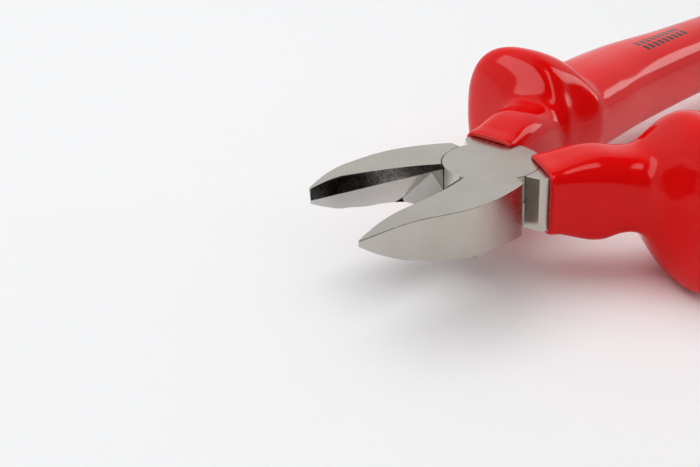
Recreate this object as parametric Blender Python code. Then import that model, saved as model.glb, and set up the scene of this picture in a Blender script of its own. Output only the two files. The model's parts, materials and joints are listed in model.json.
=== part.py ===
"""Diagonal cutting pliers with dip-insulated handles, in metres, +Z up.

Each lever is drawn in its own frame as it lies with the tool closed: the pivot axis is at the origin, the
jaw points along -X on the +Y side, the handle along +X on the -Y side, and z = 0 is the top face of the
head. The second lever is the mirror image with its lap on the other side. Both are then turned apart by
half the opening angle.
"""

import math

import bmesh
import bpy

MM = 0.001

# Placing in the shared frame: the pliers' bounding box stands centred on the origin, on z = 0.
PIVOT_X = -42.15
HEAD_TOP_Z = 21.3
HALF_OPENING_DEG = 16.75

# Head.
HEAD_T = 10.5
HEAD_MID = -HEAD_T / 2
BOSS_R = 9.25
BOSS_SIDES = 72
LAP_GAP = 0.1
ARC_GAP = 0.12
EDGE_GAP = 0.05
PIN_R = 3.4
PIN_CLEARANCE = 0.06
PIN_HEAD_R = 5.2
PIN_HEAD_T = 1.2
PIN_HEAD_LAND = 0.3
PIN_SIDES = 48
PIN_COVER = 1.6
# How far a cutter stands out past the face it starts from.
PROUD = 2.0

# Jaw outline seen from above: (x, y at the top face, how far the bottom edge leans in).
JAW_OUTER = [
    (-3.6, 8.5, 0.0),
    (-4.65, 10.9, 0.1),
    (-8.0, 11.35, 0.6),
    (-12.0, 11.5, 1.2),
    (-16.0, 11.15, 1.6),
    (-20.0, 10.1, 2.0),
    (-24.0, 8.3, 2.1),
    (-27.0, 6.65, 2.1),
    (-29.5, 5.1, 1.9),
    (-31.5, 3.8, 1.6),
    (-33.2, 2.45, 1.0),
    (-34.5, 1.25, 0.5),
    (-35.4, 0.3, 0.05),
]
JAW_ROOT_X = -2.0
JAW_ROOT_Y = 6.0
# Sections added between two rows of a jaw table, so that its curves stay smooth.
JAW_SUBSTEPS = 6

# Cutting edge: a straight line falling from the boss to the tip.
EDGE_Z_AT_BOSS = -0.65
EDGE_BOSS_X = -9.5
EDGE_SLOPE = 0.124
EDGE_LAND = 0.12
# Upper bevel: (x, width of the ground face at the top).
UPPER_BEVEL = [
    (-7.0, 1.05),
    (-9.5, 1.25),
    (-13.0, 1.7),
    (-17.0, 1.9),
    (-22.0, 1.85),
    (-26.0, 1.6),
    (-30.0, 1.2),
    (-33.0, 0.8),
    (-36.0, 0.4),
]
# Lower bevel: (x at the edge, sweep with y, sweep with depth, then y and z of the outer bottom edge it
# runs out to).
LOWER_BEVEL = [
    (-11.5, 0.97, 0.55, 9.9, -10.9),
    (-18.5, 0.4, 0.25, 8.8, -10.5),
    (-23.0, 0.1, 0.1, 6.8, -9.4),
    (-26.2, 0.0, 0.0, 5.4, -8.6),
    (-28.5, 0.0, 0.0, 4.2, -8.0),
    (-31.3, 0.0, 0.0, 2.9, -6.7),
    (-33.5, 0.0, 0.0, 1.7, -5.4),
    (-36.0, 0.0, 0.0, 0.5, -4.2),
]
# How far the bevel cutters reach past the jaw's outer side, its inner side and its top face.
BEVEL_RUNOUT = 0.8
BEVEL_OVERCUT = 0.12
BEVEL_OVERTOP = 0.2
# Nose of each lever: where the top face starts to fall, how far it falls, where the tip is cut off.
NOSE = {"boss_side": (-25.5, 2.9, -35.3), "pin_side": (-27.5, 1.5, -34.45)}
NOSE_CURVE = 1.7
NOSE_STEPS = 8

# Tang: the shoulder block, then (x, centre y, half width, half height) of the forged bar inside the handle.
SHOULDER_ROOT_X = 3.2
SHOULDER_ROOT_Y = -8.2
SHOULDER_X = 5.5
SHOULDER_Y = -10.95
BLOCK_END_X = 9.8
BLOCK_IN_Y = -1.9
TANG = [
    (9.4, -6.3, 3.9, 4.8),
    (12.5, -6.3, 3.6, 4.4),
    (17.0, -7.9, 3.9, 4.0),
    (26.0, -9.3, 4.2, 3.6),
    (45.0, -10.2, 4.4, 3.4),
    (80.0, -10.4, 4.1, 3.2),
    (112.0, -9.9, 3.4, 2.9),
    (117.0, -9.8, 2.6, 2.3),
]
TANG_SQUARENESS = 6.0

# Insulation.
FIT_GAP = 0.25
INNER_LAYER_T = 0.9
SLEEVE_SKIN_T = 1.4
LAYER_STANDOFF = 0.2
CHANNEL_OVERLAP = 0.5
COLLAR_X = 7.2
# Outside of the dipped sleeve without its guard: (x, centre y, half width, half height, squareness).
SLEEVE = [
    (7.2, -6.35, 5.8, 6.1, 6.0),
    (7.7, -6.35, 6.15, 6.5, 5.0),
    (9.5, -6.35, 6.2, 6.8, 4.5),
    (12.5, -6.6, 6.4, 7.8, 3.6),
    (15.5, -7.1, 6.7, 8.7, 3.2),
    (18.0, -7.4, 6.8, 8.9, 3.0),
    (20.0, -7.6, 6.8, 8.3, 2.8),
    (22.2, -8.1, 7.0, 7.8, 2.7),
    (25.0, -9.0, 7.6, 8.0, 2.5),
    (40.0, -11.2, 10.6, 9.1, 2.4),
    (50.0, -12.5, 11.0, 9.5, 2.4),
    (62.0, -13.0, 10.5, 9.5, 2.4),
    (85.0, -11.5, 8.9, 9.0, 2.4),
    (108.0, -10.1, 8.2, 8.6, 2.4),
    (118.0, -9.7, 7.9, 8.0, 2.3),
    (122.5, -9.5, 6.6, 6.7, 2.2),
    (124.7, -9.4, 4.5, 4.6, 2.1),
    (125.5, -9.4, 2.2, 2.3, 2.0),
]
# Guard flange: a rounded disc standing outward from the handle.
GUARD_X = 30.8
GUARD_FRONT = 4.6
GUARD_BACK = 8.7
GUARD_FRONT_ROUND = 1.7
GUARD_BACK_ROUND = 1.8
GUARD_Y = -17.4
GUARD_HALF_W = 14.1
GUARD_HALF_H = 16.066
GUARD_SQUARENESS = 2.5
GUARD_FILLET = 3.2
GUARD_FILLET_GROWTH = 2.5
CORE_BORE_AHEAD = 10.0
CORE_BORE_BEHIND = 15.0
# Sections: where they lie along the guard (-1 front, 1 back), how much closer their points stand on the
# guard's side, and their numbers of points.
GUARD_STEPS = [-1.0, -0.94, -0.78, -0.5, -0.2, 0.0, 0.25, 0.5, 0.72, 0.9, 1.0]
OUTER_DENSITY = 0.4
RING_SIDES = 32
CORE_SIDES = 22
BAR_SIDES = 16
RAY_REACH = 60.0
RAY_HALVINGS = 40
SMOOTH_BELOW_DEG = 50.0

# Materials: name, colour, metallic, roughness.
STEEL = ("steel", (0.56, 0.54, 0.51), 1.0, 0.35)
SLEEVE_RED = ("sleeve", (0.72, 0.01, 0.012), 0.0, 0.15)
LAYER_YELLOW = ("inner_layer", (0.85, 0.65, 0.05), 0.0, 0.5)
CORE_WHITE = ("guard_core", (0.8, 0.8, 0.78), 0.0, 0.6)

PARTS = "diagonal_cutting_pliers"
CUTTERS = "cutters"


def clear_scene():
    for obj in list(bpy.data.objects):
        bpy.data.objects.remove(obj, do_unlink=True)


def new_collection(name):
    made = bpy.data.collections.new(name)
    bpy.context.scene.collection.children.link(made)
    return made


def material(name, colour, metallic, roughness):
    made = bpy.data.materials.new(name)
    made.use_nodes = True
    shader = made.node_tree.nodes["Principled BSDF"]
    shader.inputs["Base Color"].default_value = (*colour, 1.0)
    shader.inputs["Metallic"].default_value = metallic
    shader.inputs["Roughness"].default_value = roughness
    return made


def between(table, x, column):
    """Value of a column of the table at x, rounded smoothly through the rows (monotone cubic)."""
    xs = [row[0] for row in table]
    ys = [row[column] for row in table]
    if x <= xs[0]:
        return ys[0]
    if x >= xs[-1]:
        return ys[-1]
    steps = [(ys[i + 1] - ys[i]) / (xs[i + 1] - xs[i]) for i in range(len(xs) - 1)]
    slopes = [steps[0]]
    for before, after in zip(steps, steps[1:]):
        slopes.append(0.0 if before * after <= 0 else 2 * before * after / (before + after))
    slopes.append(steps[-1])
    i = max(k for k in range(len(xs) - 1) if xs[k] <= x)
    width = xs[i + 1] - xs[i]
    t = (x - xs[i]) / width
    return (
        ys[i] * (1 + 2 * t) * (1 - t) ** 2
        + slopes[i] * width * t * (1 - t) ** 2
        + ys[i + 1] * t * t * (3 - 2 * t)
        + slopes[i + 1] * width * t * t * (t - 1)
    )


def refined(table):
    """The table with JAW_SUBSTEPS rows for each of its own, on the smooth curve through them."""
    rows = sorted(table)
    xs = []
    for row, after in zip(rows, rows[1:]):
        xs += [row[0] + (after[0] - row[0]) * k / JAW_SUBSTEPS for k in range(JAW_SUBSTEPS)]
    xs.append(rows[-1][0])
    made = [(x, *(between(rows, x, column) for column in range(1, len(rows[0])))) for x in xs]
    return made if table[0] == rows[0] else made[::-1]


def circle(radius, z, sides):
    ring = []
    for k in range(sides):
        a = 2 * math.pi * k / sides
        ring.append((radius * math.cos(a), radius * math.sin(a), z))
    return ring


def oval(x, centre_y, half_w, half_h, squareness, sides):
    """A superellipse in the plane at x, centred on the head's mid plane."""
    ring = []
    for k in range(sides):
        a = 2 * math.pi * (k + 0.5) / sides
        c = math.copysign(abs(math.cos(a)) ** (2 / squareness), math.cos(a))
        s = math.copysign(abs(math.sin(a)) ** (2 / squareness), math.sin(a))
        ring.append((x, centre_y + half_w * c, HEAD_MID + half_h * s))
    return ring


class Lever:
    """Makes objects in one lever's own frame: hand = 1 for the lever as drawn, -1 for its mirror image."""

    def __init__(self, hand, parts, cutters):
        self.hand = hand
        self.parts = parts
        self.cutters = cutters

    def place(self, obj):
        obj.location = (PIVOT_X * MM, 0.0, HEAD_TOP_Z * MM)
        obj.rotation_euler = (0.0, 0.0, -self.hand * math.radians(HALF_OPENING_DEG))

    def solid(self, name, points, faces, paint=None):
        """A closed mesh from points in millimetres: a shown part if it has a material, else a cutter."""
        mesh = bpy.data.meshes.new(name)
        mesh.from_pydata([(x * MM, self.hand * y * MM, z * MM) for x, y, z in points], [], faces)
        shape = bmesh.new()
        shape.from_mesh(mesh)
        bmesh.ops.recalc_face_normals(shape, faces=shape.faces)
        shape.to_mesh(mesh)
        shape.free()
        obj = bpy.data.objects.new(name, mesh)
        if paint is None:
            self.cutters.objects.link(obj)
            obj.hide_render = True
            obj.display_type = "WIRE"
        else:
            self.parts.objects.link(obj)
            mesh.materials.append(paint)
        self.place(obj)
        return obj

    def loft(self, name, rings, paint=None):
        """A solid through rings with the same number of points, closed by a flat cap at each end."""
        count = len(rings[0])
        points = [p for ring in rings for p in ring]
        faces = [list(range(count)), list(range(len(points) - count, len(points)))]
        for r in range(len(rings) - 1):
            for k in range(count):
                a = r * count + k
                b = r * count + (k + 1) % count
                faces.append([a, b, b + count])
                faces.append([a, b + count, a + count])
        return self.solid(name, points, faces, paint)

    def prism(self, name, outline, low, high):
        return self.loft(name, [[(x, y, z) for x, y in outline] for z in (low, high)])

    def disc(self, name, radius, low, high):
        return self.loft(name, [circle(radius, low, BOSS_SIDES), circle(radius, high, BOSS_SIDES)])

    def join(self, obj, other, operation):
        cut = obj.modifiers.new(other.name, "BOOLEAN")
        cut.operation = operation
        cut.solver = "EXACT"
        cut.object = other

    def shade_smooth(self, obj):
        """Round faces shade smoothly and sharp edges stay crisp."""
        obj.data.shade_smooth()
        limit = math.radians(SMOOTH_BELOW_DEG)
        shape = bmesh.new()
        shape.from_mesh(obj.data)
        for edge in shape.edges:
            edge.smooth = len(edge.link_faces) == 2 and edge.calc_face_angle() < limit
        shape.to_mesh(obj.data)
        shape.free()


def jaw_blank(lever, name, paint):
    """The jaw before grinding: its outline, with the outer side leaning in towards the bottom."""
    outer = JAW_OUTER[:1] + refined(JAW_OUTER[1:])
    top = [(x, y, 0.0) for x, y, lean in outer]
    bottom = [(x, y - lean, -HEAD_T) for x, y, lean in outer]
    inner = [(JAW_OUTER[-1][0], EDGE_GAP), (JAW_ROOT_X, EDGE_GAP), (JAW_ROOT_X, JAW_ROOT_Y)]
    top += [(x, y, 0.0) for x, y in inner]
    bottom += [(x, y, -HEAD_T) for x, y in inner]
    return lever.loft(name, [bottom, top], paint)


def edge_z(x):
    return EDGE_Z_AT_BOSS + EDGE_SLOPE * (x - EDGE_BOSS_X)


def grind_jaw(lever, jaw, tag):
    """Cuts the two bevels that meet in the cutting edge, and the fall of the top face towards the tip."""
    inner = -BEVEL_OVERCUT
    upper = []
    for x, width in refined(UPPER_BEVEL):
        foot = edge_z(x) + EDGE_LAND / 2
        slope = -foot / (width - EDGE_GAP)
        low = foot + slope * (inner - EDGE_GAP)
        out = width + BEVEL_OVERTOP / slope
        upper.append([(x, inner, low), (x, out, BEVEL_OVERTOP), (x, inner, BEVEL_OVERTOP)])
    lower = []
    for x, sweep_y, sweep_z, out_y, out_z in refined(LOWER_BEVEL):
        head = edge_z(x) - EDGE_LAND / 2
        slope = (head - out_z) / (out_y - EDGE_GAP)
        profile = [
            (inner, head - slope * (inner - EDGE_GAP)),
            (out_y + BEVEL_RUNOUT, out_z - slope * BEVEL_RUNOUT),
            (out_y + BEVEL_RUNOUT, -HEAD_T - 2 * PROUD),
            (inner, -HEAD_T - 2 * PROUD),
        ]
        lower.append([(x - sweep_y * y - sweep_z * (z - head), y, z) for y, z in profile])
    nose_x, drop, tip_x = NOSE[tag]
    fall = []
    for k in range(NOSE_STEPS + 1):
        share = k / NOSE_STEPS * (nose_x - tip_x + PROUD) / (nose_x - tip_x)
        fall.append((nose_x + (tip_x - nose_x) * share, -drop * share**NOSE_CURVE))
    slope = fall[1][1] / (fall[1][0] - fall[0][0])
    fall[0] = (nose_x + PROUD, slope * PROUD)
    fall += [(fall[-1][0], 2 * PROUD), (nose_x + PROUD, 2 * PROUD)]
    nose = [[(x, y, z) for x, z in fall] for y in (-PROUD, BOSS_R)]
    beyond = JAW_OUTER[-1][0] - PROUD
    corners = [(beyond, -PROUD), (tip_x, -PROUD), (tip_x, BOSS_R), (beyond, BOSS_R)]
    tip = [[(x, y, z) for x, y in corners] for z in (-HEAD_T - PROUD, PROUD)]
    for name, rings in (("upper_bevel", upper), ("lower_bevel", lower), ("nose", nose), ("tip", tip)):
        lever.join(jaw, lever.loft(f"cut_{name}_{tag}", rings), "DIFFERENCE")


def build_lever(lever, tag, disc_on_top, steel):
    """One forging: jaw, half-thickness disc at the joint, shoulder and tang."""
    body = jaw_blank(lever, f"lever_{tag}", steel)
    grind_jaw(lever, body, tag)
    shoulder = [
        (SHOULDER_ROOT_X, SHOULDER_ROOT_Y),
        (SHOULDER_X, SHOULDER_Y),
        (BLOCK_END_X, SHOULDER_Y),
        (BLOCK_END_X, BLOCK_IN_Y),
        (SHOULDER_ROOT_X, BLOCK_IN_Y),
    ]
    block = lever.prism(f"add_shoulder_{tag}", shoulder, -HEAD_T, 0.0)
    bar_rings = [oval(x, y, w, h, TANG_SQUARENESS, BAR_SIDES) for x, y, w, h in TANG]
    bar = lever.loft(f"add_tang_{tag}", bar_rings)
    if disc_on_top:
        disc = lever.disc(f"add_disc_{tag}", BOSS_R, HEAD_MID + LAP_GAP, 0.0)
        lap = lever.disc(f"cut_lap_{tag}", BOSS_R + ARC_GAP, -HEAD_T - PROUD, HEAD_MID + 2 * LAP_GAP)
        hole_ends = (-HEAD_T, PIN_CLEARANCE - PIN_COVER)
        hole_rings = [circle(PIN_R + PIN_CLEARANCE, z, PIN_SIDES) for z in hole_ends]
    else:
        disc = lever.disc(f"add_disc_{tag}", BOSS_R, -HEAD_T, HEAD_MID - LAP_GAP)
        lap = lever.disc(f"cut_lap_{tag}", BOSS_R + ARC_GAP, HEAD_MID - 2 * LAP_GAP, PROUD)
        hole_rings = pin_rings(PIN_CLEARANCE, PROUD)
    hole = lever.loft(f"cut_pin_{tag}", hole_rings)
    lever.join(body, block, "UNION")
    lever.join(body, bar, "UNION")
    lever.join(body, lap, "DIFFERENCE")
    lever.join(body, disc, "UNION")
    lever.join(body, hole, "DIFFERENCE")


def pin_rings(clearance, extra):
    """The pivot rivet from its flush countersunk head on the underside up to its blind end."""
    levels = [
        (PIN_HEAD_R + clearance, -HEAD_T - extra),
        (PIN_HEAD_R + clearance, -HEAD_T + PIN_HEAD_LAND + clearance),
        (PIN_R + clearance, -HEAD_T + PIN_HEAD_T + clearance),
        (PIN_R + clearance, -PIN_COVER + min(extra, clearance)),
    ]
    return [circle(radius, z, PIN_SIDES) for radius, z in levels]


def guard_share(x):
    """How far the section at x has grown from the handle's size (0) to the guard's (1)."""
    if x < GUARD_X:
        reach, round_off = GUARD_FRONT, GUARD_FRONT_ROUND
    else:
        reach, round_off = GUARD_BACK, GUARD_BACK_ROUND
    u = min(1.0, abs(x - GUARD_X) / reach)
    return (1 - u**round_off) ** (1 / round_off)


def ray_length(angle, centre_y, half_w, half_h, squareness, from_y):
    """Distance along the angle from the point at from_y on the mid plane to a superellipse round it."""
    near, far = 0.0, RAY_REACH
    for _ in range(RAY_HALVINGS):
        r = (near + far) / 2
        out = abs((from_y + r * math.cos(angle) - centre_y) / half_w) ** squareness
        out += abs(r * math.sin(angle) / half_h) ** squareness
        near, far = (r, far) if out < 1 else (near, r)
    return near


def sleeve_ring(x, inset, sides):
    """The sleeve's outside at x, moved in by inset: the handle's oval joined to the guard's."""
    y, w, h, e = (between(SLEEVE, x, column) for column in (1, 2, 3, 4))
    s = guard_share(x)
    flange_y = y + (GUARD_Y - y) * s
    flange_w = w + (GUARD_HALF_W - w) * s - inset
    flange_h = h + (GUARD_HALF_H - h) * s - inset
    ring = []
    for k in range(sides):
        t = 2 * math.pi * (k + 0.5) / sides
        a = t + OUTER_DENSITY * math.sin(t)
        r = ray_length(a, y, w - inset, h - inset, e, y)
        if s > 0:
            rest = ray_length(a, flange_y, flange_w, flange_h, GUARD_SQUARENESS, y) - r
            soft = GUARD_FILLET * min(1.0, GUARD_FILLET_GROWTH * s)
            r += rest if rest > soft else max(0.0, rest + soft) ** 2 / (4 * soft)
        ring.append((x, y + r * math.cos(a), HEAD_MID + r * math.sin(a)))
    return ring


def guard_stations(inset=0.0):
    return [GUARD_X + step * ((GUARD_FRONT if step < 0 else GUARD_BACK) - inset) for step in GUARD_STEPS]


def tang_rings(extra, first_x, last_x, sides):
    """Rings that follow the tang with some clearance or wall added all round."""
    xs = [first_x] + [row[0] for row in TANG if first_x + 1 < row[0] < last_x - 1] + [last_x]
    rings = []
    for x in xs:
        y, w, h = (between(TANG, x, column) for column in (1, 2, 3))
        rings.append(oval(x, y, w + extra, h + extra, TANG_SQUARENESS, sides))
    return rings


def build_insulation(lever, tag, colours):
    """The inner layer round the tang, the core that fills out the guard, and the sleeve dipped over both."""
    tang_end = TANG[-1][0]
    layer_front = BLOCK_END_X + FIT_GAP + LAYER_STANDOFF
    layer_t = FIT_GAP + INNER_LAYER_T
    layer_end = tang_end + layer_t
    layer = lever.loft(
        f"inner_layer_{tag}", tang_rings(layer_t, layer_front, layer_end, BAR_SIDES), colours["layer"]
    )
    hollow = lever.loft(
        f"cut_layer_{tag}", tang_rings(FIT_GAP, layer_front - PROUD, tang_end + FIT_GAP, BAR_SIDES)
    )
    lever.join(layer, hollow, "DIFFERENCE")

    core_rings = []
    for x in guard_stations(SLEEVE_SKIN_T):
        drawn_in = (x - GUARD_X) * (1 - FIT_GAP / GUARD_FRONT)
        ring = sleeve_ring(x, SLEEVE_SKIN_T + 2 * FIT_GAP, CORE_SIDES)
        core_rings.append([(GUARD_X + drawn_in, y, z) for _, y, z in ring])
    core = lever.loft(f"guard_core_{tag}", core_rings, colours["core"])
    clear_of_layer = layer_t + FIT_GAP
    bore = lever.loft(
        f"cut_core_{tag}",
        tang_rings(clear_of_layer, GUARD_X - CORE_BORE_AHEAD, GUARD_X + CORE_BORE_BEHIND, BAR_SIDES),
    )
    lever.join(core, bore, "DIFFERENCE")

    xs = sorted({row[0] for row in SLEEVE} | set(guard_stations()))
    sleeve = lever.loft(
        f"sleeve_{tag}", [sleeve_ring(x, 0.0, RING_SIDES) for x in xs], colours["sleeve"]
    )
    front = [
        (COLLAR_X - PROUD, SHOULDER_Y - FIT_GAP),
        (BLOCK_END_X + FIT_GAP, SHOULDER_Y - FIT_GAP),
        (BLOCK_END_X + FIT_GAP, BLOCK_IN_Y + FIT_GAP),
        (COLLAR_X - PROUD, BLOCK_IN_Y + FIT_GAP),
    ]
    mouth = lever.prism(f"cut_mouth_{tag}", front, -HEAD_T - FIT_GAP, FIT_GAP)
    channel = lever.loft(
        f"cut_channel_{tag}",
        tang_rings(clear_of_layer, BLOCK_END_X - CHANNEL_OVERLAP, layer_end + FIT_GAP, BAR_SIDES),
    )
    pocket_rings = [sleeve_ring(x, SLEEVE_SKIN_T, CORE_SIDES) for x in guard_stations(SLEEVE_SKIN_T)]
    pocket = lever.loft(f"cut_pocket_{tag}", pocket_rings)
    swing = lever.disc(f"cut_swing_{tag}", BOSS_R + 2 * FIT_GAP, -HEAD_T - FIT_GAP, FIT_GAP)
    for cutter in (channel, mouth, swing, pocket):
        lever.join(sleeve, cutter, "DIFFERENCE")
    for obj in (layer, core, sleeve):
        lever.shade_smooth(obj)


def main():
    clear_scene()
    parts = new_collection(PARTS)
    cutters = new_collection(CUTTERS)
    cutters.hide_render = True
    steel = material(*STEEL)
    colours = {
        "sleeve": material(*SLEEVE_RED),
        "layer": material(*LAYER_YELLOW),
        "core": material(*CORE_WHITE),
    }
    near = Lever(-1, parts, cutters)
    far = Lever(1, parts, cutters)
    build_lever(near, "boss_side", True, steel)
    build_lever(far, "pin_side", False, steel)
    near.loft("pivot_rivet", pin_rings(0.0, 0.0), steel)
    build_insulation(near, "boss_side", colours)
    build_insulation(far, "pin_side", colours)


main()
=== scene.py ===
"""Looks of the diagonal cutting pliers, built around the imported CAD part, in metres, +Z up.

Shapes are drawn in one lever's own frame, in millimetres: the pivot axis at the origin, the jaw along -X on
the +Y side, the handle along +X on the -Y side, and z = 0 at the head's top face. Lever.mesh() mirrors and
turns them to where that lever lies.
"""

import json
import math

import bmesh
import bpy
import numpy as np
from mathutils import Matrix, Vector


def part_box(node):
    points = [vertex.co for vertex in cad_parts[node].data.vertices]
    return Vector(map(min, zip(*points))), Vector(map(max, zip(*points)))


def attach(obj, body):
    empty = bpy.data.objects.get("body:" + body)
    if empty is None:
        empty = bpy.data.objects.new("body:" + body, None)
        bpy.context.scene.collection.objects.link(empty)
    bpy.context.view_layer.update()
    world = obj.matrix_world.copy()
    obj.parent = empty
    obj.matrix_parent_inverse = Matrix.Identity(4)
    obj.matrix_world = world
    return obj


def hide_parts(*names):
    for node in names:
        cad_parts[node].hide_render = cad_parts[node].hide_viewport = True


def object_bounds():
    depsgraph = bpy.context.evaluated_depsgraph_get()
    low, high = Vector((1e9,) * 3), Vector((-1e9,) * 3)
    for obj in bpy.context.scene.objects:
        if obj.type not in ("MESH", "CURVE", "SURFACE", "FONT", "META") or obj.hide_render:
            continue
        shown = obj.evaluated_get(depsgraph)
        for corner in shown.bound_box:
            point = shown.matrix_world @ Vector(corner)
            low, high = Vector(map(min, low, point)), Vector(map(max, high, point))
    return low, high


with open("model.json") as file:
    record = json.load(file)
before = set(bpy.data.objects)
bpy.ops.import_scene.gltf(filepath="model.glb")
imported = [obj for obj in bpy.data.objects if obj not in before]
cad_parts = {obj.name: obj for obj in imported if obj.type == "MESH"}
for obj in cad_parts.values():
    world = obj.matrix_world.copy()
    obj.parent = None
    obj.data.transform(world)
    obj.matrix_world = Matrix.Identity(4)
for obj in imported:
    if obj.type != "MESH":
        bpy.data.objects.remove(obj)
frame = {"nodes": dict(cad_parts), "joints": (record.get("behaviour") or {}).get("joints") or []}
CAD_LOW, CAD_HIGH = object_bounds()

MM = 0.001
PIVOT = frame["joints"][0]["pos_m"]
HEAD_LOW, HEAD_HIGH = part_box("lever_boss_side")
HEAD_TOP = HEAD_HIGH.z
HEAD_T = (HEAD_HIGH.z - HEAD_LOW.z) / MM
HEAD_MID = -HEAD_T / 2
HALF_OPENING = math.radians(16.75)

# Steel edges: how far each is rounded off, and what counts as an edge.
EDGE_ROUND = 0.11
EDGE_ANGLE = math.radians(25)
FLAT_ANGLE = math.radians(0.3)
SMOOTH_ANGLE = math.radians(14)
SLEEVE_SMOOTH_ANGLE = math.radians(50)
WELD_M = 2e-6
# Edges left unrounded: from this far before the shoulder's end, below this y on the jaw, and inside the boss
# by this margin.
BLOCK_END_MARGIN = 0.1
JAW_INNER_Y = 0.4
LAP_MARGIN = 0.5
# Which faces are ground: on the jaw, facing its cutting side, and not the flat top or bottom.
# Those of them that face up get a painted dark reflection instead of ground steel.
GROUND_FROM_BOSS = 1.5
GROUND_LEAST_Y = -0.5
GROUND_MOST_Y = 9.5
GROUND_FACING_Y = -0.3
FLAT_FACING_Z = 0.98
UPPER_FACING_Z = 0.05
# A lever's material slots after its first, the plain steel: ground steel, then a painted dark reflection.
GROUND = 1
PAINTED_REFLECTION_SLOT = 2

# Inside of the collar and the tang inside the sleeve: (x, centre y, half width, half height).
BLOCK_END_X = 9.8
BLOCK_IN_Y = -1.9
SHOULDER_Y = -10.95
BOSS_R = 9.25
TANG = [
    (9.4, -6.3, 3.9, 4.8),
    (12.5, -6.3, 3.6, 4.4),
    (17.0, -7.9, 3.9, 4.0),
    (26.0, -9.3, 4.2, 3.6),
    (45.0, -10.2, 4.4, 3.4),
    (80.0, -10.4, 4.1, 3.2),
    (112.0, -9.9, 3.4, 2.9),
    (117.0, -9.8, 2.6, 2.3),
]
TANG_SQUARENESS = 6.0
FIT_GAP = 0.25
COLLAR_GAP = 0.03
SWING_GAP = 0.1
CHANNEL_GAP = 1.4
SKIN_T = 1.4
# Outside of the dipped sleeve without its guard: (x, centre y, half width, half height, squareness, lift).
SLEEVE = [
    (7.2, -6.35, 5.8, 6.1, 6.0, 0.0),
    (7.7, -6.35, 6.15, 6.5, 5.0, 0.0),
    (9.5, -6.35, 6.2, 6.8, 4.5, 0.0),
    (12.5, -6.6, 6.4, 7.8, 3.6, -0.1),
    (15.5, -7.1, 6.7, 8.6, 3.2, -0.25),
    (18.0, -7.4, 6.8, 8.8, 3.0, -0.3),
    (20.0, -7.6, 6.8, 8.3, 2.8, -0.1),
    (22.2, -8.1, 7.0, 7.8, 2.7, 0.1),
    (25.0, -9.0, 7.6, 8.0, 2.5, 0.0),
    (40.0, -11.2, 10.6, 9.1, 2.4, 0.1),
    (50.0, -12.5, 11.0, 9.5, 2.4, 0.1),
    (62.0, -13.0, 10.5, 9.5, 2.4, 0.0),
    (85.0, -11.5, 8.9, 9.0, 2.4, 0.0),
    (108.0, -10.1, 8.2, 8.6, 2.4, 0.0),
    (117.0, -9.75, 8.0, 8.1, 2.3, 0.0),
]
END_X = 125.7
END_DOME = 2.3
DOME_STEPS = 16
DOME_LEAST = 1e-4
# Guard flange: a rounded disc standing outward from the handle.
GUARD_X = 30.8
GUARD_FRONT = 4.6
GUARD_BACK = 8.7
GUARD_FRONT_ROUND = 1.7
GUARD_BACK_ROUND = 1.8
GUARD_Y = -17.4
GUARD_HALF_W = 14.1
GUARD_HALF_H = 16.25
GUARD_SQUARENESS = 2.5
GUARD_FILLET = 3.2
GUARD_FILLET_GROWTH = 2.5
# How far the dipped coat rounds off what lies under it along the handle, and where that starts and ends.
FLOW = 1.15
FLOW_FROM_X = 9.0
FLOW_FULL_X = 13.0
FLOW_SIGMAS = 3
OUTER_DENSITY = 0.4
RING_SIDES = 144
COARSE_STEP = 1.6
FINE_STEP = 0.45
FINE_TO_X = 52.0
LIP_ROUND = 0.45
LIP_STEPS = 8
MOUTH_SQUARENESS = 14.0
SWING_SIDES = 96
# The hollow inside the sleeve: x of its rings before and behind the guard's pocket, and the pocket's own.
HOLLOW_FRONT_XS = [12.5, 17.0, 20.5, 24.0]
HOLLOW_REAR_XS = [45.0, 60.0, 80.0, 100.0, 112.0]
POCKET_RINGS = 14
POCKET_STEP = 0.05
# Finding a ring's radius: how far out it looks, and how often it halves the range.
RAY_REACH = 60.0
RAY_HALVINGS = 44

# Printed mark on the far handle: a double row of plain bars, in the shared frame.
MARK_CENTRE = (0.0285, 0.0318, 0.027)
MARK_TURN = HALF_OPENING
MARK_HALF_SIZE = (0.0095, 0.0022, 0.006)
MARK_BARS = 9.0
MARK_BAR_GAP = 0.38
MARK_ROW_GAP = 0.12
MARK_INK = (0.035, 0.012, 0.014)

# Studio: floor, surroundings and lamps.
FLOOR_HALF_SIZE = 6.0
FLOOR_COLOUR = (0.90, 0.905, 0.915)
FLOOR_ROUGHNESS = 0.6
# Reflected surroundings are bright, and dark round one direction. The limits are cosines of the angle to it.
DARK_AZIMUTH = 180.0
DARK_ELEVATION = 40.0
DARK_OUTER_COSINE = 0.28
DARK_INNER_COSINE = 0.48
BRIGHT_STRENGTH = 1.0
DARK_STRENGTH = 0.07
BACKDROP_STRENGTH = 0.86
DIFFUSE_STRENGTH = 0.6
# Lamps: (name, azimuth, elevation, distance, width, height, radiance, in reflections, in diffuse light).
LAMPS = [
    ("top_soft", -20.0, 70.0, 0.9, 0.8, 0.8, 2.5, False, True),
    ("front_fill", 180.0, 50.0, 1.2, 1.0, 0.9, 0.6, False, True),
    ("left_lamp", -80.0, 33.0, 0.8, 1.0, 0.42, 3.6, True, False),
    ("right_lamp", 97.0, 34.0, 0.8, 0.2, 0.6, 4.4, True, False),
    ("over_lamp", -160.0, 68.0, 0.8, 0.25, 0.36, 4.2, True, False),
]
LAMP_TARGET_BEHIND_PIVOT = 0.03
EXPOSURE = -0.02

# Camera, from the pivot at head-top height: distance, then the directions in degrees.
CAMERA_DISTANCE = 0.184
CAMERA_AZIMUTH = 35.10
CAMERA_ELEVATION = 22.70
LOOK_AZIMUTH = 25.88
LOOK_DOWN = 26.78
LOOK_ROLL = -3.38
LENS_MM = 50.0
SENSOR_MM = 36.0
CLIP_START = 0.005
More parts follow.
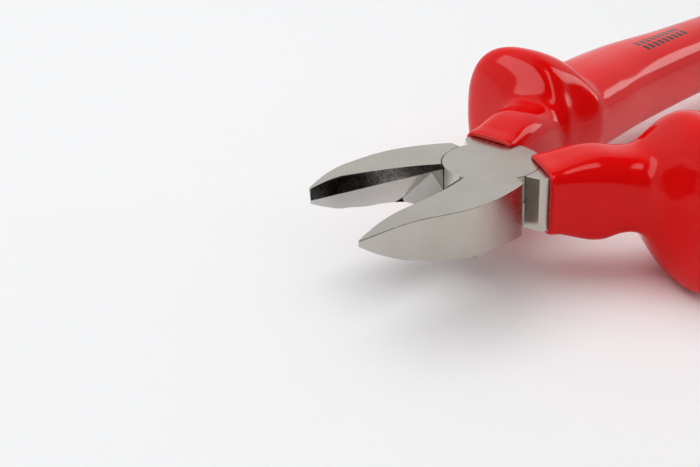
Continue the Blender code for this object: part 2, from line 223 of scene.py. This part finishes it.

# Materials: the darkest and lightest colour of each, and its lowest and highest roughness. RED and the
# colour of the painted dark reflection stand on the shader's own socket, under the linked colour.
STEEL_COLOURS = ((0.495, 0.47, 0.425), (0.54, 0.515, 0.468))
STEEL_ROUGHNESS = (0.22, 0.28)
GROUND_COLOURS = ((0.42, 0.405, 0.38), (0.49, 0.475, 0.45))
GROUND_ROUGHNESS = (0.12, 0.18)
GROUND_GRAIN_TURN = 80.0
# Painted dark reflection: near-black speckled steel on the upward-facing cutting bevel, for dark
# surroundings.
PAINTED_REFLECTION_COLOUR = (0.03, 0.028, 0.026)
PAINTED_REFLECTION_COLOURS = ((0.012, 0.011, 0.010), (0.075, 0.07, 0.064))
RED = (0.62, 0.004, 0.006)
RED_COLOURS = ((0.70, 0.001, 0.0012), (0.80, 0.002, 0.0022))
LAYER_COLOURS = ((0.78, 0.58, 0.04), (0.88, 0.68, 0.06))
CORE_COLOURS = ((0.74, 0.74, 0.72), (0.82, 0.82, 0.80))


def between(table, x, column):
    """Value of a column of the table at x, rounded smoothly through the rows (monotone cubic)."""
    xs = [row[0] for row in table]
    ys = [row[column] for row in table]
    if x <= xs[0]:
        return ys[0]
    if x >= xs[-1]:
        return ys[-1]
    steps = [(ys[i + 1] - ys[i]) / (xs[i + 1] - xs[i]) for i in range(len(xs) - 1)]
    slopes = [steps[0]]
    for before, after in zip(steps, steps[1:]):
        slopes.append(0.0 if before * after <= 0 else 2 * before * after / (before + after))
    slopes.append(steps[-1])
    i = max(k for k in range(len(xs) - 1) if xs[k] <= x)
    width = xs[i + 1] - xs[i]
    t = (x - xs[i]) / width
    return (
        ys[i] * (1 + 2 * t) * (1 - t) ** 2
        + slopes[i] * width * t * (1 - t) ** 2
        + ys[i + 1] * t * t * (3 - 2 * t)
        + slopes[i + 1] * width * t * t * (t - 1)
    )


def guard_share(x):
    """How far the section at x has grown from the handle's size (0) to the guard's (1)."""
    if x < GUARD_X:
        reach, round_off = GUARD_FRONT, GUARD_FRONT_ROUND
    else:
        reach, round_off = GUARD_BACK, GUARD_BACK_ROUND
    u = min(1.0, abs(x - GUARD_X) / reach)
    return (1 - u**round_off) ** (1 / round_off)


def ray_lengths(angles, from_y, centre_y, half_w, half_h, squareness):
    """Distances along the angles from the point at from_y on the mid plane to a superellipse round it."""
    near = np.zeros_like(angles)
    far = np.full_like(angles, RAY_REACH)
    for _ in range(RAY_HALVINGS):
        r = (near + far) / 2
        out = np.abs((from_y + r * np.cos(angles) - centre_y) / half_w) ** squareness
        out += np.abs(r * np.sin(angles) / half_h) ** squareness
        near = np.where(out < 1, r, near)
        far = np.where(out < 1, far, r)
    return near


def ring_angles():
    """Angles of a ring's points, closer together on its outer side."""
    t = 2 * math.pi * (np.arange(RING_SIDES) + 0.5) / RING_SIDES
    return t + OUTER_DENSITY * np.sin(t)


def ring_points(x, from_y, radii, lift=0.0):
    """The ring at x with the given radii round the point at from_y, raised by lift."""
    angles = ring_angles()
    z = HEAD_MID + lift + radii * np.sin(angles)
    return np.stack([np.full(RING_SIDES, x), from_y + radii * np.cos(angles), z], 1)


def sleeve_ring(x, inset=0.0):
    """The sleeve's outside at x, moved in by inset: the handle's oval joined to the guard's."""
    y, w, h, e = (between(SLEEVE, x, column) for column in (1, 2, 3, 4))
    if x > SLEEVE[-1][0]:
        u = (x - SLEEVE[-1][0]) / (END_X - SLEEVE[-1][0])
        dome = max(DOME_LEAST, 1 - u**END_DOME) ** (1 / END_DOME)
        w, h = w * dome, h * dome
    angles = ring_angles()
    r = ray_lengths(angles, y, y, w - inset, h - inset, e)
    s = guard_share(x)
    if s > 0:
        flange = ray_lengths(
            angles,
            y,
            y + (GUARD_Y - y) * s,
            w + (GUARD_HALF_W - w) * s - inset,
            h + (GUARD_HALF_H - h) * s - inset,
            GUARD_SQUARENESS,
        )
        rest = flange - r
        soft = GUARD_FILLET * min(1.0, GUARD_FILLET_GROWTH * s)
        r = r + np.where(rest > soft, rest, np.maximum(0.0, rest + soft) ** 2 / (4 * soft))
    return ring_points(x, y, r, between(SLEEVE, x, 5))


def flowing_rings(first, last):
    """The sleeve's outside from first to last, rounded off along its length as a thick liquid coat is."""
    xs = np.arange(first, last, FINE_STEP)
    rough = np.stack([sleeve_ring(x) for x in xs])
    reach = int(FLOW_SIGMAS * FLOW / FINE_STEP)
    weights = np.exp(-0.5 * (np.arange(-reach, reach + 1) * FINE_STEP / FLOW) ** 2)
    weights /= weights.sum()
    padded = np.concatenate([np.repeat(rough[:1], reach, 0), rough, np.repeat(rough[-1:], reach, 0)])
    smooth = sum(w * padded[k : k + len(xs)] for k, w in enumerate(weights))
    smooth[:, :, 0] = rough[:, :, 0]
    share = np.clip((xs - FLOW_FROM_X) / (FLOW_FULL_X - FLOW_FROM_X), 0.0, 1.0)
    share *= np.clip((last - FINE_STEP - xs) / (2 * FLOW), 0.0, 1.0)
    share = (share * share * (3 - 2 * share))[:, None, None]
    return list(rough * (1 - share) + smooth * share)


class Lever:
    """Places what is drawn in a lever's own frame: hand = 1 as drawn, -1 for its mirror image."""

    def __init__(self, hand, body):
        self.hand = hand
        self.body = body
        turn = Matrix.Rotation(-hand * HALF_OPENING, 4, "Z")
        place = Matrix.Translation((PIVOT[0], PIVOT[1], HEAD_TOP))
        self.matrix = place @ turn @ Matrix.Diagonal((MM, hand * MM, MM, 1.0))

    def mesh(self, name, points, faces):
        """An object whose vertices are in the row frame, faces turned outward."""
        matrix = np.array(self.matrix)
        world = np.asarray(points, float) @ matrix[:3, :3].T + matrix[:3, 3]
        mesh = bpy.data.meshes.new(name)
        mesh.from_pydata(world.tolist(), [], faces)
        shape = bmesh.new()
        shape.from_mesh(mesh)
        bmesh.ops.recalc_face_normals(shape, faces=shape.faces)
        shape.to_mesh(mesh)
        shape.free()
        obj = bpy.data.objects.new(name, mesh)
        bpy.context.scene.collection.objects.link(obj)
        return obj

    def loft(self, name, rings):
        """A solid through rings with the same number of points, closed by a flat cap at each end."""
        count = len(rings[0])
        points = np.concatenate(rings)
        faces = [list(range(count)), list(range(len(points) - count, len(points)))]
        for r in range(len(rings) - 1):
            for k in range(count):
                a = r * count + k
                b = r * count + (k + 1) % count
                faces.append([a, b, b + count, a + count])
        return self.mesh(name, points, faces)


def crease(obj, limit):
    """Smooth shading, with the edges sharper than the limit left crisp."""
    obj.data.shade_smooth()
    shape = bmesh.new()
    shape.from_mesh(obj.data)
    for edge in shape.edges:
        edge.smooth = len(edge.link_faces) == 2 and edge.calc_face_angle() < limit
    shape.to_mesh(obj.data)
    shape.free()


def clear_channel_radii(x, from_y, extra):
    """Radii of the tang's section at x, grown by extra, seen from the point at from_y."""
    y, w, h = (between(TANG, x, column) for column in (1, 2, 3))
    return ray_lengths(ring_angles(), from_y, y, w + extra, h + extra, TANG_SQUARENESS)


def build_sleeve(lever, tag, paint):
    """The dipped sleeve: outside, rolled front lip, mouth round the shoulder block, and the hollow behind."""
    front = SLEEVE[0][0]
    rings = flowing_rings(front + LIP_ROUND, FINE_TO_X)
    rings += [sleeve_ring(x) for x in np.arange(FINE_TO_X, SLEEVE[-1][0], COARSE_STEP)]
    dome_x = SLEEVE[-1][0]
    domed = [
        dome_x + (END_X - dome_x) * math.sin(math.pi / 2 * k / DOME_STEPS) for k in range(DOME_STEPS + 1)
    ]
    rings += [sleeve_ring(x) for x in domed]
    rings.reverse()
    centre_y = (SHOULDER_Y + BLOCK_IN_Y) / 2
    mouth_w = (BLOCK_IN_Y - SHOULDER_Y) / 2 + COLLAR_GAP
    mouth_h = HEAD_T / 2 + COLLAR_GAP
    outer = sleeve_ring(front + LIP_ROUND)
    ring_y = between(SLEEVE, front, 1)
    mouth = ray_lengths(ring_angles(), ring_y, centre_y, mouth_w, mouth_h, MOUTH_SQUARENESS)
    inner = ring_points(front, ring_y, mouth)
    for k in range(1, LIP_STEPS):
        a = math.pi * k / LIP_STEPS
        share = (1 - math.cos(a)) / 2
        ring = outer * (1 - share) + inner * share
        ring[:, 0] = front + LIP_ROUND * (1 - math.sin(a))
        rings.append(ring)
    block_end = BLOCK_END_X + FIT_GAP
    rings.append(ring_points(front + LIP_ROUND, ring_y, mouth))
    rings.append(ring_points(block_end, ring_y, mouth))
    channel_end = TANG[-1][0] + CHANNEL_GAP + FIT_GAP
    pocket = np.linspace(GUARD_X - GUARD_FRONT + SKIN_T, GUARD_X + GUARD_BACK - SKIN_T, POCKET_RINGS)
    for x in [block_end, *HOLLOW_FRONT_XS, pocket[0] - POCKET_STEP]:
        y = between(SLEEVE, x, 1)
        rings.append(ring_points(x, y, clear_channel_radii(x, y, CHANNEL_GAP)))
    rings += [sleeve_ring(x, SKIN_T) for x in pocket]
    for x in [pocket[-1] + POCKET_STEP, *HOLLOW_REAR_XS, channel_end]:
        y = between(SLEEVE, x, 1)
        rings.append(ring_points(x, y, clear_channel_radii(x, y, CHANNEL_GAP)))
    sleeve = lever.loft(f"dipped_sleeve_{tag}", rings)
    swing_r = BOSS_R + FIT_GAP
    swing = []
    for z in (-HEAD_T - SWING_GAP, SWING_GAP):
        a = 2 * math.pi * np.arange(SWING_SIDES) / SWING_SIDES
        swing.append(np.stack([swing_r * np.cos(a), swing_r * np.sin(a), np.full(SWING_SIDES, z)], 1))
    cutter = lever.loft(f"swing_{tag}", swing)
    cut(sleeve, cutter)
    crease(sleeve, SLEEVE_SMOOTH_ANGLE)
    sleeve.data.materials.append(paint)
    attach(sleeve, lever.body)
    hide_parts(f"sleeve_{tag}")


def cut(obj, cutter):
    """Takes the cutter out of the object and removes the cutter."""
    modifier = obj.modifiers.new("cut", "BOOLEAN")
    modifier.operation = "DIFFERENCE"
    modifier.solver = "EXACT"
    modifier.object = cutter
    graph = bpy.context.evaluated_depsgraph_get()
    made = bpy.data.meshes.new_from_object(obj.evaluated_get(graph))
    obj.modifiers.clear()
    obj.data = made
    bpy.data.objects.remove(cutter, do_unlink=True)


def build_lever_look(lever, tag, paints):
    """The forged lever, from its CAD node: flat faces made whole, edges rounded, ground faces told apart."""
    name = f"lever_{tag}"
    shape = bmesh.new()
    shape.from_mesh(frame["nodes"][name].data)
    bmesh.ops.remove_doubles(shape, verts=shape.verts, dist=WELD_M)
    bmesh.ops.dissolve_limit(
        shape, angle_limit=FLAT_ANGLE, use_dissolve_boundaries=False, verts=shape.verts, edges=shape.edges
    )
    home = lever.matrix.inverted()
    edges = []
    for edge in shape.edges:
        if len(edge.link_faces) != 2 or edge.calc_face_angle() < EDGE_ANGLE:
            continue
        a, b = (home @ v.co for v in edge.verts)
        in_sleeve = max(a.x, b.x) > BLOCK_END_X - BLOCK_END_MARGIN
        on_cutting_side = max(a.y, b.y) < JAW_INNER_Y and min(a.x, b.x) < -BOSS_R
        radius = (math.hypot(a.x, a.y) + math.hypot(b.x, b.y)) / 2
        in_lap = radius < BOSS_R - LAP_MARGIN
        if not (in_sleeve or on_cutting_side or in_lap):
            edges.append(edge)
    bmesh.ops.bevel(
        shape,
        geom=edges,
        offset=EDGE_ROUND * MM,
        offset_type="OFFSET",
        segments=2,
        profile=0.5,
        affect="EDGES",
        clamp_overlap=False,
    )
    mesh = bpy.data.meshes.new(f"forged_{name}")
    shape.to_mesh(mesh)
    shape.free()
    obj = bpy.data.objects.new(f"forged_{name}", mesh)
    bpy.context.scene.collection.objects.link(obj)
    for paint in paints:
        mesh.materials.append(paint)
    turn = home.to_3x3()
    for face in mesh.polygons:
        n = (turn @ face.normal).normalized()
        c = home @ face.center
        on_jaw = c.x < -BOSS_R + GROUND_FROM_BOSS and GROUND_LEAST_Y < c.y < GROUND_MOST_Y
        if on_jaw and n.y < GROUND_FACING_Y and abs(n.z) < FLAT_FACING_Z:
            # Ground faces that face up get a painted dark reflection; the rest stay ground steel.
            face.material_index = PAINTED_REFLECTION_SLOT if n.z > UPPER_FACING_Z else GROUND
    crease(obj, SMOOTH_ANGLE)
    even = obj.modifiers.new("even_normals", "WEIGHTED_NORMAL")
    even.keep_sharp = True
    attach(obj, lever.body)
    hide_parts(name)


class Paint:
    """A material and short ways to add its nodes."""

    def __init__(self, name, colour, metallic, roughness):
        self.made = bpy.data.materials.new(name)
        self.made.use_nodes = True
        self.tree = self.made.node_tree
        self.shader = self.tree.nodes["Principled BSDF"]
        self.set(self.shader, "Base Color", (*colour, 1.0))
        self.set(self.shader, "Metallic", metallic)
        self.set(self.shader, "Roughness", roughness)

    def set(self, node, name, value):
        node.inputs[name].default_value = value

    def add(self, kind, **values):
        node = self.tree.nodes.new(kind)
        for key, value in values.items():
            setattr(node, key, value)
        return node

    def link(self, a, b):
        self.tree.links.new(a, b)

    def calculate(self, operation, a, b=0.0):
        """A Math node's result; a and b are each a number or another node's output."""
        node = self.add("ShaderNodeMath", operation=operation)
        for socket, value in zip(node.inputs, (a, b)):
            if isinstance(value, float):
                socket.default_value = value
            else:
                self.link(value, socket)
        return node.outputs[0]

    def bars(self, centre, turn, half_size, count):
        """1 inside a double row of plain printed bars that lie in a box, 0 elsewhere."""
        where = self.add("ShaderNodeTexCoord")
        box = self.add("ShaderNodeMapping", vector_type="TEXTURE")
        box.inputs["Location"].default_value = centre
        box.inputs["Rotation"].default_value = (0.0, 0.0, turn)
        box.inputs["Scale"].default_value = half_size
        self.link(where.outputs["Object"], box.inputs["Vector"])
        axes = self.add("ShaderNodeSeparateXYZ")
        self.link(box.outputs["Vector"], axes.inputs[0])
        length, width, depth = (self.calculate("ABSOLUTE", axes.outputs[k]) for k in range(3))
        largest = self.calculate("MAXIMUM", self.calculate("MAXIMUM", length, width), depth)
        inside = self.calculate("LESS_THAN", largest, 1.0)
        along = self.calculate("MULTIPLY", self.calculate("ADD", axes.outputs[0], 1.0), count / 2)
        in_bar = self.calculate("GREATER_THAN", self.calculate("FRACT", along), MARK_BAR_GAP)
        in_row = self.calculate("GREATER_THAN", width, MARK_ROW_GAP)
        return self.calculate("MULTIPLY", inside, self.calculate("MULTIPLY", in_bar, in_row))

    def noise(self, scale, detail, turn_deg=0.0, stretch=(1.0, 1.0, 1.0)):
        """A noise's factor over the object's own place, stretched along directions turned about Z."""
        where = self.add("ShaderNodeTexCoord")
        spin = self.add("ShaderNodeMapping", vector_type="POINT")
        self.set(spin, "Rotation", (0.0, 0.0, math.radians(turn_deg)))
        scaled = self.add("ShaderNodeMapping", vector_type="POINT")
        self.set(scaled, "Scale", stretch)
        made = self.add("ShaderNodeTexNoise")
        self.set(made, "Scale", scale)
        self.set(made, "Detail", detail)
        self.link(where.outputs["Object"], spin.inputs["Vector"])
        self.link(spin.outputs["Vector"], scaled.inputs["Vector"])
        self.link(scaled.outputs["Vector"], made.inputs["Vector"])
        return made.outputs["Fac"]

    def spread(self, value, low, high, from_low=0.3, from_high=0.7):
        """The value's middle range, stretched to run from low to high."""
        made = self.add("ShaderNodeMapRange")
        self.set(made, "From Min", from_low)
        self.set(made, "From Max", from_high)
        self.set(made, "To Min", low)
        self.set(made, "To Max", high)
        self.link(value, made.inputs["Value"])
        return made.outputs["Result"]

    def blend_colour(self, value, low, high):
        made = self.add("ShaderNodeMix", data_type="RGBA")
        made.inputs[6].default_value = (*low, 1.0)
        made.inputs[7].default_value = (*high, 1.0)
        self.link(value, made.inputs[0])
        return made.outputs[2]

    def bump(self, height, strength, distance, under=None):
        made = self.add("ShaderNodeBump")
        self.set(made, "Strength", strength)
        self.set(made, "Distance", distance)
        self.link(height, made.inputs["Height"])
        if under is not None:
            self.link(under, made.inputs["Normal"])
        return made.outputs["Normal"]


def satin_steel(name, turn_deg, colours, roughness):
    """Ground and lightly brushed steel: long fine grain in the turned direction, and a cloudy colour."""
    paint = Paint(name, colours[1], metallic=1.0, roughness=roughness[1])
    grain = paint.noise(scale=900.0, detail=3.0, turn_deg=turn_deg, stretch=(1.0, 14.0, 14.0))
    cloud = paint.noise(scale=130.0, detail=4.0)
    paint.link(paint.blend_colour(paint.spread(cloud, 0.0, 1.0), *colours), paint.shader.inputs["Base Color"])
    paint.link(paint.spread(grain, *roughness), paint.shader.inputs["Roughness"])
    paint.link(paint.bump(grain, strength=0.12, distance=0.00001), paint.shader.inputs["Normal"])
    return paint.made


def painted_reflection_steel(name):
    """Painted dark reflection for the upper cutting bevel: near-black steel with scattered lighter specks."""
    paint = Paint(name, PAINTED_REFLECTION_COLOUR, metallic=1.0, roughness=0.3)
    specks = paint.noise(scale=2600.0, detail=4.0)
    cloud = paint.noise(scale=420.0, detail=3.0)
    speckled = paint.blend_colour(paint.spread(specks, 0.0, 1.0), *PAINTED_REFLECTION_COLOURS)
    paint.link(speckled, paint.shader.inputs["Base Color"])
    paint.link(paint.spread(cloud, low=0.22, high=0.42), paint.shader.inputs["Roughness"])
    paint.link(paint.bump(specks, strength=0.25, distance=0.00002), paint.shader.inputs["Normal"])
    return paint.made


def dipped_plastic():
    """Glossy soft PVC with the faint unevenness of a dipped coat."""
    paint = Paint("sleeve_red", RED, metallic=0.0, roughness=0.09)
    paint.set(paint.shader, "IOR", 1.5)
    paint.set(paint.shader, "Specular IOR Level", 0.2)
    wave = paint.noise(scale=70.0, detail=2.0)
    fine = paint.noise(scale=900.0, detail=2.0)
    tone = paint.noise(scale=35.0, detail=3.0)
    red = paint.blend_colour(paint.spread(tone, 0.0, 1.0), *RED_COLOURS)
    printed = paint.add("ShaderNodeMix", data_type="RGBA")
    printed.inputs[7].default_value = (*MARK_INK, 1.0)
    paint.link(paint.bars(MARK_CENTRE, MARK_TURN, MARK_HALF_SIZE, MARK_BARS), printed.inputs[0])
    paint.link(red, printed.inputs[6])
    paint.link(printed.outputs[2], paint.shader.inputs["Base Color"])
    paint.link(paint.spread(fine, low=0.07, high=0.12), paint.shader.inputs["Roughness"])
    broad = paint.bump(wave, strength=0.25, distance=0.0004)
    paint.link(paint.bump(fine, strength=0.05, distance=0.00002, under=broad), paint.shader.inputs["Normal"])
    return paint.made


def moulded_plastic(name, colours):
    """Matt moulded plastic with a fine grain."""
    paint = Paint(name, colours[1], metallic=0.0, roughness=0.55)
    grain = paint.noise(scale=1500.0, detail=3.0)
    paint.link(paint.blend_colour(paint.spread(grain, 0.0, 1.0), *colours), paint.shader.inputs["Base Color"])
    paint.link(paint.spread(grain, low=0.48, high=0.62), paint.shader.inputs["Roughness"])
    paint.link(paint.bump(grain, strength=0.2, distance=0.00002), paint.shader.inputs["Normal"])
    return paint.made


def build_floor():
    """A plain pale floor at the height of the lowest points of the guards."""
    size = FLOOR_HALF_SIZE
    mesh = bpy.data.meshes.new("floor")
    corners = [(-size, -size, 0), (size, -size, 0), (size, size, 0), (-size, size, 0)]
    mesh.from_pydata(corners, [], [(0, 1, 2, 3)])
    floor = bpy.data.objects.new("floor", mesh)
    bpy.context.scene.collection.objects.link(floor)
    floor.location = (0.0, 0.0, CAD_LOW.z)
    paint = Paint("floor_white", FLOOR_COLOUR, metallic=0.0, roughness=FLOOR_ROUGHNESS)
    mesh.materials.append(paint.made)


def direction(azimuth_deg, elevation_deg):
    """Unit vector; azimuth 0 is +Y and 90 is +X."""
    a, e = math.radians(azimuth_deg), math.radians(elevation_deg)
    return Vector((math.sin(a) * math.cos(e), math.cos(a) * math.cos(e), math.sin(e)))


def area_light(name, azimuth, elevation, distance, size_x, size_y, radiance, glossy, diffuse):
    """A softbox aimed just behind the pivot, of a given brightness per area."""
    lamp = bpy.data.lights.new(name, "AREA")
    lamp.shape = "RECTANGLE"
    lamp.size = size_x
    lamp.size_y = size_y
    lamp.energy = radiance * math.pi * size_x * size_y
    obj = bpy.data.objects.new(name, lamp)
    bpy.context.scene.collection.objects.link(obj)
    towards = direction(azimuth, elevation)
    target = Vector((PIVOT[0] + LAMP_TARGET_BEHIND_PIVOT, PIVOT[1], HEAD_TOP))
    obj.location = target + towards * distance
    obj.rotation_euler = towards.to_track_quat("Z", "Y").to_euler()
    obj.visible_camera = False
    obj.visible_glossy = glossy
    obj.visible_diffuse = diffuse


def build_world():
    """Surroundings: bright with one dark side in reflections, plain to the camera, even for diffuse light."""
    world = bpy.data.worlds.new("studio")
    bpy.context.scene.world = world
    world.use_nodes = True
    tree = world.node_tree
    tree.nodes.clear()
    out = tree.nodes.new("ShaderNodeOutputWorld")
    back = tree.nodes.new("ShaderNodeBackground")
    where = tree.nodes.new("ShaderNodeTexCoord")
    dark = direction(DARK_AZIMUTH, DARK_ELEVATION)
    dot = tree.nodes.new("ShaderNodeVectorMath")
    dot.operation = "DOT_PRODUCT"
    dot.inputs[1].default_value = dark
    ramp = tree.nodes.new("ShaderNodeMapRange")
    ramp.interpolation_type = "SMOOTHSTEP"
    ramp.inputs["From Min"].default_value = DARK_OUTER_COSINE
    ramp.inputs["From Max"].default_value = DARK_INNER_COSINE
    ramp.inputs["To Min"].default_value = BRIGHT_STRENGTH
    ramp.inputs["To Max"].default_value = DARK_STRENGTH
    seen = tree.nodes.new("ShaderNodeLightPath")
    choose = tree.nodes.new("ShaderNodeMix")
    choose.data_type = "FLOAT"
    choose.inputs[3].default_value = BACKDROP_STRENGTH
    tree.links.new(where.outputs["Generated"], dot.inputs[0])
    tree.links.new(dot.outputs["Value"], ramp.inputs["Value"])
    tree.links.new(ramp.outputs["Result"], choose.inputs[2])
    tree.links.new(seen.outputs["Is Camera Ray"], choose.inputs[0])
    even = tree.nodes.new("ShaderNodeMix")
    even.data_type = "FLOAT"
    even.inputs[3].default_value = DIFFUSE_STRENGTH
    tree.links.new(choose.outputs[0], even.inputs[2])
    tree.links.new(seen.outputs["Is Diffuse Ray"], even.inputs[0])
    tree.links.new(even.outputs[0], back.inputs["Strength"])
    tree.links.new(back.outputs["Background"], out.inputs["Surface"])


def build_camera():
    """The camera, placed round the pivot and then turned and rolled on its own."""
    lens = bpy.data.cameras.new("camera")
    lens.lens = LENS_MM
    lens.sensor_width = SENSOR_MM
    lens.sensor_fit = "HORIZONTAL"
    lens.clip_start = CLIP_START
    camera = bpy.data.objects.new("camera", lens)
    bpy.context.scene.collection.objects.link(camera)
    pivot = Vector((PIVOT[0], PIVOT[1], HEAD_TOP))
    away = direction(CAMERA_AZIMUTH + 180.0, CAMERA_ELEVATION)
    camera.location = pivot + away * CAMERA_DISTANCE
    ahead = direction(LOOK_AZIMUTH, -LOOK_DOWN)
    right = ahead.cross(Vector((0, 0, 1))).normalized()
    up = right.cross(ahead)
    roll = math.radians(LOOK_ROLL)
    x_axis = math.cos(roll) * right + math.sin(roll) * up
    y_axis = -math.sin(roll) * right + math.cos(roll) * up
    turn = Matrix((x_axis, y_axis, -ahead)).transposed()
    camera.rotation_euler = turn.to_euler()
    bpy.context.scene.camera = camera


def repaint(node, paint):
    """Gives a CAD node that stays visible its material."""
    frame["nodes"][node].data.materials.clear()
    frame["nodes"][node].data.materials.append(paint)


def main():
    near = Lever(-1, "boss_lever")
    far = Lever(1, "pin_lever")
    red = dipped_plastic()
    for lever, tag in ((near, "boss_side"), (far, "pin_side")):
        turn = lever.hand * math.degrees(HALF_OPENING)
        steel = satin_steel(f"steel_{tag}", turn, STEEL_COLOURS, STEEL_ROUGHNESS)
        ground = satin_steel(f"ground_{tag}", turn + GROUND_GRAIN_TURN, GROUND_COLOURS, GROUND_ROUGHNESS)
        # The upward-facing cutting bevel's material is a painted dark reflection.
        dark = painted_reflection_steel(f"painted_reflection_{tag}")
        build_lever_look(lever, tag, (steel, ground, dark))
        build_sleeve(lever, tag, red)
        if lever is near:
            repaint("pivot_rivet", steel)
    yellow = moulded_plastic("layer_yellow", LAYER_COLOURS)
    white = moulded_plastic("core_white", CORE_COLOURS)
    for tag in ("boss_side", "pin_side"):
        repaint(f"inner_layer_{tag}", yellow)
        repaint(f"guard_core_{tag}", white)
    build_floor()
    build_world()
    for lamp in LAMPS:
        area_light(*lamp)
    build_camera()
    bpy.context.scene.view_settings.view_transform = "Standard"
    bpy.context.scene.view_settings.exposure = EXPOSURE


main()
